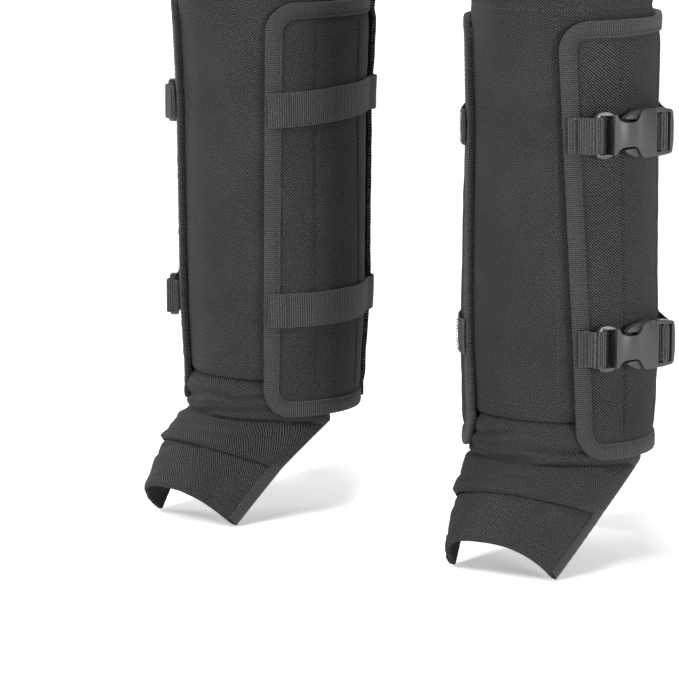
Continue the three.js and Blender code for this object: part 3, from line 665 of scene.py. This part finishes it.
def on_ankle(t, u, bulge):
    k = min(max(int(math.floor(t)), 0), 2)
    mix = t - k
    front, side, back, z, rear_z = (lerp(a, b, mix) for a, b in zip(ANKLE[k], ANKLE[k + 1]))
    turn = u * math.pi / 2
    square = max(0, t - 1) * SQUARENESS
    sideways = math.copysign(abs(math.sin(turn)) ** (1 - square), u)
    ahead = abs(math.cos(turn)) ** (1 - square)
    x, y = (side + bulge) * sideways, back - (front + back + bulge) * ahead
    twist = math.radians(-ANKLE_TWIST * t / 3)
    x, y = x * math.cos(twist) - y * math.sin(twist), x * math.sin(twist) + y * math.cos(twist)
    return Vector((x, y, lerp(z, rear_z, abs(u) ** FALL_POWER)))


def band_profile(share, swell, upper):
    """How far a gathered band stands out, from its upper edge (0) to its lower edge (1)."""
    rise = smoothstep(share, -0.02, upper)
    tuck = 1 - 0.8 * smoothstep(share, 0.88, 1.04)
    return swell * rise * tuck


def folds(u, share, seed, lines):
    """Soft lengthways creases: each is (middle, share, half length, depth)."""
    depth = 0.0
    for k, (middle, height, half, deep) in enumerate(lines):
        drift = 0.1 * math.sin(u * 5 + k * 2.1 + seed) + 0.05 * rumple(u * 60, k, seed, 11)
        fade = max(0.0, 1 - ((u - middle) / half) ** 2)
        across = (share - height - drift) / 0.075
        depth += deep * fade * (math.exp(-across * across) - 0.45 * math.exp(-(across - 1.7) ** 2))
    return depth


FOLDS = {
    "upper": ((-0.25, 0.38, 0.75, 2.2), (0.42, 0.6, 0.5, 2.9),
              (-0.05, 0.82, 0.6, 1.9), (-0.7, 0.66, 0.3, 1.8)),
    "lower": ((0.55, 0.16, 0.4, 2.2), (0.05, 0.42, 0.5, 1.5),
              (-0.4, 0.6, 0.55, 1.7), (0.66, 0.7, 0.3, 1.4)),
    "cover": ((0.1, 0.22, 0.5, 1.3), (-0.5, 0.35, 0.4, 1.1),
              (0.55, 0.42, 0.4, 1.2), (0.2, 0.62, 0.4, 0.8)),
}


def ankle_band(side, label, start, end, swell, upper, sunk, thickness, seed, lines, hem=False):
    """A gathered band between two stages of the ankle; label is also its CAD node's name."""
    columns, rows = 150, 44
    grid, coords = [], []
    for i in range(columns + 1):
        u = -1 + 2 * i / columns
        edge = 1 - abs(u) ** 6
        lift = 0.05 * rumple(u * 80, 1, seed + 2, 17) + 0.03 * rumple(u * 80, 1, seed + 3, 7)
        line, uv = [], []
        for j in range(rows + 1):
            share = j / rows
            wave = math.sin(math.pi * min(share * 1.2, 1))
            t = lerp(start, end, share) + lift * edge * wave * (start > 0.5)
            broad = 1.5 * rumple(u * 70, share * 30, seed, 19)
            broad += 0.6 * rumple(u * 70, share * 34, seed + 9, 7)
            pleats = 0.7 * rumple(u * 105, share * 5, seed + 4, 5.5) * (1 - share) ** 1.3
            out = band_profile(share, swell, upper) - sunk * (1 - smoothstep(share, 0, 0.16))
            out += (broad + pleats - folds(u, share, seed, lines)) * edge * smoothstep(share, 0.02, 0.22)
            if hem:
                out -= 0.5 * math.exp(-((share - 0.78) / 0.03) ** 2) + 0.8 * smoothstep(share, 0.96, 1)
            line.append(on_ankle(min(t, 3.0), u, out * (0.35 + 0.65 * edge) + 0.4))
            uv.append((u * ANKLE_HALF_GIRTH, -share * BAND_DEPTH))
        grid.append(line)
        coords.append(uv)
    cloth = thick_grid(f"{side}_{label}_cloth", side, grid, thickness, coords, SHELL_CLOTH, centre=(0, 40, 0))
    place(cloth, f"{side}_gaiter", "shell_fabric", f"{side}_{label}", pad=0.5)


# distance in from the side tape's edge, and height over the ankle
SIDE_TAPE_PROFILE = ((-0.6, -2.2), (-0.9, 0.4), (0.2, 1.9), (3, 2.4), (7, 2.5), (9.6, 2.1), (10.4, 0.6))


def build_side_tape(side, label, way):
    grid, coords, seam = [], [], []
    steps = 46
    length = 0.0
    last = None
    for i in range(steps + 1):
        t = lerp(2.99, 0.72, i / steps)
        edge = on_ankle(t, way, 0)
        inside = on_ankle(t, way * 0.8, 0)
        along = (on_ankle(t - 0.05, way, 0) - edge).normalized()
        across = inside - edge
        across = (across - along * across.dot(along)).normalized()
        out = Vector((way, 0, 0))
        out = (out - along * out.dot(along) - across * out.dot(across)).normalized()
        length += (edge - last).length if last is not None else 0
        last = edge
        line, uv = [], []
        for inward, height in SIDE_TAPE_PROFILE:
            ripple = 0.15 * math.sin(length * 1.2)
            line.append(edge + across * inward + out * (height + ripple + 0.9))
            uv.append((length, inward))
        grid.append(line)
        coords.append(uv)
        seam.append((edge + across * 8.6 + out * 3.3, out))
    stem = f"{side}_{label}_side_tape"
    tape = thick_grid(f"{stem}_cloth", side, grid, 0.6, coords, TAPE_CLOTH, centre=(0, 40, 0))
    place(tape, f"{side}_gaiter", "binding_tape", stem)
    place(stitches(f"{stem}_stitches", side, seam, THREAD), f"{side}_gaiter", "binding_tape")


def build_ankle(side, seed):
    ankle_band(side, "upper_ankle_puff", 0.0, 1.04, 5.0, 0.3, 1.0, 2.6, seed, FOLDS["upper"])
    ankle_band(side, "lower_ankle_puff", 0.93, 2.04, 5.6, 0.22, 2.6, 2.6, seed + 20, FOLDS["lower"])
    ankle_band(side, "instep_cover", 1.93, 3.0, 1.8, 0.3, 2.8, 2.2, seed + 40, FOLDS["cover"], hem=True)
    path = []
    for i in range(61):
        u = -0.9 + 1.8 * i / 60
        stage = HEM_STITCH_STAGE
        path.append((on_ankle(stage, u, 1.9), on_ankle(stage, u, 6) - on_ankle(stage, u, 0)))
    place(stitches(f"{side}_cover_hem_stitches", side, path, THREAD), f"{side}_gaiter", "shell_fabric")
    build_side_tape(side, "lateral", 1)
    build_side_tape(side, "medial", -1)


# ---- webbing ----------------------------------------------------------------------------------------

TURN = math.radians(BUCKLE_ANGLE)
OUT = Vector((math.sin(TURN), -math.cos(TURN), 0))
ALONG = Vector((math.cos(TURN), math.sin(TURN), 0))
STANDOFF = WING_FACE + 2 * GAP


def buckle_base(z):
    return on_leg(BUCKLE_ANGLE, z, 0) + OUT * STANDOFF


def in_buckle(z, along, out):
    """A plan point in the buckle's frame, at a height round the strap's middle."""
    base = buckle_base(z)
    return lambda height: Vector((*(base + ALONG * along + OUT * out).xy, height))


def leg_place(angle, offset):
    return lambda height: on_leg(angle, height, offset)


def smooth_path(places, per_span=5):
    """More places between the given ones, on a Catmull-Rom curve."""
    result = []
    for i in range(len(places) - 1):
        four = [places[max(i - 1, 0)], places[i], places[i + 1], places[min(i + 2, len(places) - 1)]]
        for k in range(per_span):
            t = k / per_span

            def between(height, four=four, t=t):
                p = [f(height) for f in four]
                return 0.5 * (2 * p[1] + (p[2] - p[0]) * t + (2 * p[0] - 5 * p[1] + 4 * p[2] - p[3]) * t * t
                              + (3 * p[1] - p[0] - 3 * p[2] + p[3]) * t ** 3)
            result.append(between)
    result.append(places[-1])
    return result


# across the webbing, and how far its face falls at the woven edges
WEB_PROFILE = ((-12.5, 0.75), (-12.25, 0.25), (-11.6, 0.02), (-8, 0), (-4, 0), (0, 0), (4, 0), (8, 0),
               (11.6, 0.02), (12.25, 0.25), (12.5, 0.75))


def webbing(name, side, places, z, thickness=STRAP_THICKNESS, dense=5):
    path = smooth_path(places, dense)
    middle = [p(z) for p in path]
    grid, coords = [], []
    length = 0.0
    for i, point_at in enumerate(path):
        before, after = middle[max(i - 1, 0)], middle[min(i + 1, len(path) - 1)]
        along = (after - before).normalized()
        out = along.cross(Vector((0, 0, 1))).normalized()
        length += (middle[i] - middle[i - 1]).length if i else 0
        grid.append([point_at(z + across) + out * (thickness - drop) for across, drop in WEB_PROFILE])
        coords.append([(length, across) for across, _ in WEB_PROFILE])
    return closed_band(name, side, grid, thickness, coords)


def closed_band(name, side, grid, thickness, coords):
    """Like thick_grid, but the outward way follows the path and not the leg's middle."""
    outer = np.array([[tuple(p) for p in row] for row in grid], float)
    along = np.gradient(outer, axis=0)
    out = np.cross(along, np.array((0, 0, 1.0)))
    out /= np.linalg.norm(out, axis=2, keepdims=True) + 1e-9
    drops = np.array([max(thickness - 2 * drop, 0.15) for _, drop in WEB_PROFILE])
    inner = outer - out * drops[None, :, None]
    rows, columns = outer.shape[:2]
    count = rows * columns
    points = np.concatenate([outer.reshape(-1, 3), inner.reshape(-1, 3)])
    faces = []
    for i in range(rows - 1):
        for j in range(columns - 1):
            a, b = i * columns + j, (i + 1) * columns + j
            faces.append((a, b, b + 1, a + 1))
            faces.append((count + a, count + a + 1, count + b + 1, count + b))
        for j in (0, columns - 1):
            a, b = i * columns + j, (i + 1) * columns + j
            faces.append((a, count + a, count + b, b))
    for i in (0, rows - 1):
        for j in range(columns - 1):
            a = i * columns + j
            faces.append((a, a + 1, count + a + 1, count + a))
    flat = [c for row in coords for c in row]
    return make_object(name, side, points.tolist(), faces, flat + flat, WEBBING)


def box_stitch(name, side, sign, edge, face, z, body, length=13):
    """The sewn box and cross that hold a strap's end to the bound edge."""
    half = STRAP_WIDTH / 2 - 2.2
    a0 = edge + STITCH_BOX_INSET * DEGREES_PER_MM
    a1 = edge + (STITCH_BOX_INSET + length) * DEGREES_PER_MM
    lines = [((a0, -half), (a1, -half)), ((a1, -half), (a1, half)), ((a1, half), (a0, half)),
             ((a0, half), (a0, -half)), ((a0, -half), (a1, half)), ((a0, half), (a1, -half))]
    for k, ((angle_a, up_a), (angle_b, up_b)) in enumerate(lines):
        path = []
        for i in range(9):
            angle, up = lerp(angle_a, angle_b, i / 8), lerp(up_a, up_b, i / 8)
            path.append((on_leg(sign * angle, z + up, face), outwards(sign * angle, z + up)))
        dashes = stitches(f"{name}_{k}", side, path, THREAD, 1.5, 2.2, 0.36)
        place(dashes, body, "webbing")


def build_straps(side, level):
    z = STRAPS[level]
    root, wing, male = f"{side}_gaiter", f"{side}_wing", f"{side}_{level}_male"
    binding_face = WING_FACE + GAP + BINDING_FACE

    # the long strap, from the inner wing's edge round the calf to the male half
    def face(angle):
        wrapped = 360 - angle
        over = lateral_base(wrapped) + WING_THICKNESS + GAP
        near_edge = 1 - smoothstep(angle, MEDIAL_EDGE + 9, MEDIAL_EDGE + 16)
        on_medial = WING_FACE + GAP + near_edge * (BINDING_FACE + GAP)
        return lerp(on_medial, over, smoothstep(angle, 360 - WRAP - 16, 360 - WRAP - 3))
    angles = [MEDIAL_EDGE + 1.2 + i * (STRAP_END - MEDIAL_EDGE - 1.2) / 36 for i in range(37)]
    rise = 5.0 if level == "upper" else 1.0

    def on_calf(angle):
        lift = rise * math.sin(math.pi * (angle - MEDIAL_EDGE) / (STRAP_END - MEDIAL_EDGE)) ** 2
        lean = leaning("medial", angle, z)
        return lambda height: on_leg(-lean, height, face(angle)) + Vector((0, 0, lift))
    places = [on_calf(a) for a in reversed(angles)]
    places = [in_buckle(z, MOUTH + GAP + MALE_LENGTH + 2.5, 0.6)] + places
    strap = webbing(f"{side}_{level}_long_strap", side, places, z, dense=4)
    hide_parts(f"{side}_{level}_strap")
    start = world(side, on_leg(-118, z, WING_FACE))
    end = world(side, on_leg(-156, z, WING_FACE))
    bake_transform(strap)
    box_stitch(f"{side}_{level}_strap_stitch", side, -1, leaning("medial", MEDIAL_EDGE, z) + 1.2,
               binding_face + GAP + 1.7, z, root)

    # the short webbing, sewn to the outer wing's edge and over the anchor bar
    bar = -FEMALE_OVERHANG
    top = BUCKLE_THICKNESS / 2 + GAP - 10.3 * math.sin(math.radians(LOOP_TILT))
    sewn = leaning("lateral", LATERAL_EDGE, z) + 2
    short = [leg_place(sewn + more, binding_face + GAP) for more in (0, 1.5, 3, 5)]
    short += [in_buckle(z, bar - 3.4, top - 0.9), in_buckle(z, bar, top + 0.1),
              in_buckle(z, bar + 2.2, top + 0.4), in_buckle(z, bar + 3.9, top - 0.5),
              in_buckle(z, bar + 4.1, -0.6)]
    piece = webbing(f"{side}_{level}_short_strap", side, short, z)
    place(piece, wing, "webbing", f"{side}_{level}_short_webbing")
    box_stitch(f"{side}_{level}_short_stitch", side, 1, sewn, binding_face + GAP + 1.7, z, wing, 6)

    # the strap's stretch over the male half's middle bar
    bar_at = MOUTH + GAP + 2.0 + 4.5 + 1.35
    loop = [in_buckle(z, bar_at - 3.4, 1.0), in_buckle(z, bar_at - 3.2, 5.5), in_buckle(z, bar_at - 1.6, 8.0),
            in_buckle(z, bar_at + 1.6, 8.0), in_buckle(z, bar_at + 3.2, 5.5), in_buckle(z, bar_at + 3.4, 1.0)]
    over = webbing(f"{side}_{level}_adjuster_webbing", side, loop, z, 1.3)
    place(over, male, "webbing", f"{side}_{level}_adjuster_loop")


# ---- buckles, in their own frame: x along the strap, y up its width, z away from the leg --------------


def mirrored_outline(points):
    return points + [(x, -y) for x, y in reversed(points)]


def prism(outline, low, high, tilt=0.0):
    """A plate of an outline. tilt dips its far end, in degrees about the body's start."""
    mesh = bpy.data.meshes.new("prism")
    bm = bmesh.new()
    bottom = [bm.verts.new((x, y, low)) for x, y in outline]
    face = bm.faces.new(bottom)
    grown = bmesh.ops.extrude_face_region(bm, geom=[face])
    verts = [v for v in grown["geom"] if isinstance(v, bmesh.types.BMVert)]
    bmesh.ops.translate(bm, verts=verts, vec=(0, 0, high - low))
    turn = Matrix.Rotation(math.radians(-tilt), 4, "Y")
    hinge = Matrix.Translation((BODY_START, 0, 0.8))
    bmesh.ops.transform(bm, matrix=hinge @ turn @ hinge.inverted(), verts=bm.verts)
    bmesh.ops.recalc_face_normals(bm, faces=bm.faces)
    bm.to_mesh(mesh)
    bm.free()
    obj = bpy.data.objects.new("prism", mesh)
    bpy.context.scene.collection.objects.link(obj)
    return obj


def block_outline(x0, x1, half):
    return [(x0, -half), (x1, -half), (x1, half), (x0, half)]


def moulded(parts, cuts, bevel):
    """Joins the prisms, cuts the others out, rounds the edges and returns the mesh."""
    base = prism(*parts[0])
    temporary = [base]
    for operation, shapes in (("UNION", parts[1:]), ("DIFFERENCE", cuts)):
        for shape in shapes:
            other = prism(*shape)
            temporary.append(other)
            modifier = base.modifiers.new("boolean", "BOOLEAN")
            modifier.object = other
            modifier.operation = operation
            modifier.solver = "EXACT"
    rounding = base.modifiers.new("bevel", "BEVEL")
    rounding.width = bevel
    rounding.segments = 3
    rounding.limit_method = "ANGLE"
    rounding.angle_limit = math.radians(38)
    bpy.context.view_layer.update()
    mesh = bpy.data.meshes.new_from_object(base.evaluated_get(bpy.context.evaluated_depsgraph_get()))
    for obj in temporary:
        bpy.data.objects.remove(obj)
    return mesh


# the female half thins towards its anchor over this length, down to a share of its height over the floor
TAPER_LENGTH = 12
TAPER_FLOOR = 5.4
TAPER_KEEPS = 0.55


def female_mesh():
    start = BODY_START
    body = mirrored_outline([(start, 13.0), (start + 0.5, 13.8), (start + 1.6, 13.4), (start + 2.8, 11.6),
                             (start + 4.4, 9.6), (start + 7, 8.5), (start + 10, 8.2), (start + 16, 8.3),
                             (start + 18.4, 9.2), (start + 20.2, 11.4), (start + 21.6, 14.0),
                             (start + 23.4, 15.9), (start + 25.6, 16.4), (MOUTH - 1.6, 16.4), (MOUTH, 15.9)])
    front = -FEMALE_OVERHANG
    loop = mirrored_outline([(front, 10.5), (front + 0.6, 13.6), (front + 2.6, 15.2), (front + 6, 15.9),
                             (front + 9.6, 15.6), (start + 1.2, 14.0), (start + 2.4, 11.6)])
    slot = block_outline(front + 2.6, start, 13.3)
    cuts = [(block_outline(start + 5, MOUTH + 5, 12.7), 1.9, 7.9), (slot, -12, 20)]
    mesh = moulded([(body, 0.2, BUCKLE_THICKNESS), (loop, 0.8, 4.9, LOOP_TILT)], cuts, 0.75)
    bm = bmesh.new()
    bm.from_mesh(mesh)
    for x in range(1, TAPER_LENGTH):
        everything = bm.verts[:] + bm.edges[:] + bm.faces[:]
        bmesh.ops.bisect_plane(bm, geom=everything, plane_co=(start + x, 0, 0), plane_no=(1, 0, 0))
    for vert in bm.verts:
        if vert.co.z > TAPER_FLOOR and vert.co.x < start + TAPER_LENGTH:
            kept = lerp(TAPER_KEEPS, 1, smoothstep(vert.co.x, start - 1, start + TAPER_LENGTH))
            vert.co.z = TAPER_FLOOR + (vert.co.z - TAPER_FLOOR) * kept
    bm.to_mesh(mesh)
    bm.free()
    return mesh


def male_mesh():
    start = MOUTH + GAP
    end = start + MALE_LENGTH
    frame_shape = mirrored_outline([(start, 15.6), (start + 1.2, 16.4), (start + 6, 16.3), (end - 3, 15.4),
                                    (end - 0.8, 14.6), (end - 0.1, 12.5), (end + 0.6, 6)])
    parts = [(frame_shape, 1.8, 8.2), (block_outline(start - 22, start + 1, 3), 3.3, 6.3)]
    first = start + 2.0
    cuts = [(block_outline(first, first + 4.5, 13.3), -4, 20),
            (block_outline(first + 7.2, first + 11.6, 13.0), -4, 20)]
    return moulded(parts, cuts, 0.7)


def arm_mesh():
    """The upper arm, in the buckle's frame; the lower one is its mirror image."""
    tip = MOUTH - 21
    outline = [(MOUTH - 0.2, 9.4), (MOUTH - 0.2, 12.3), (tip + 10.6, 12.3), (tip + 9.6, 13.0),
               (tip + 8.6, 15.0), (tip + 7.2, 16.0), (tip + 4.0, 15.4), (tip - 1.0, 13.2),
               (tip - 3.6, 11.4), (tip - 3.8, 10.4),
               (tip - 1, 9.9), (tip + 8, 9.5)]
    return moulded([(outline, 2.3, 7.3)], [], 0.55)


def place_buckle_part(name, side, z, mesh, body, node, flip=False):
    base = buckle_base(z)
    local = Matrix((
        (ALONG.x, 0, OUT.x, base.x),
        (ALONG.y, 0, OUT.y, base.y),
        (0, 1, 0, z),
        (0, 0, 0, 1),
    ))
    if flip:
        local = local @ Matrix.Scale(-1, 4, (0, 1, 0))
    points = [local @ v.co for v in mesh.vertices]
    faces = [tuple(p.vertices) for p in mesh.polygons]
    part = make_object(name, side, points, faces, None, PLASTIC, 35)
    place(part, body, "buckle_plastic", node)


def build_buckles(meshes, side, level):
    z = STRAPS[level]
    stem = f"{side}_{level}"
    for part, mesh, body in (("body", "female", f"{side}_wing"), ("frame", "male", f"{stem}_male")):
        place_buckle_part(f"{stem}_buckle_{part}", side, z, meshes[mesh], body, f"{stem}_{mesh}_buckle")
    for arm, flip in (("top", False), ("bottom", True)):
        node = f"{stem}_{arm}_arm"
        place_buckle_part(f"{node}_prong", side, z, meshes["arm"], node, node, flip)


# ---- build ------------------------------------------------------------------------------------------

build_camera()
build_studio()
BUCKLE_MESHES = {"female": female_mesh(), "male": male_mesh(), "arm": arm_mesh()}
for side_name, side_seed in (("left", 11), ("right", 47)):
    build_shell(side_name, side_seed)
    build_wing(side_name, "medial", side_seed + 2)
    build_wing(side_name, "lateral", side_seed + 4)
    build_closure(side_name)
    build_ankle(side_name, side_seed + 6)
    for strap_level in STRAPS:
        build_straps(side_name, strap_level)
        build_buckles(BUCKLE_MESHES, side_name, strap_level)
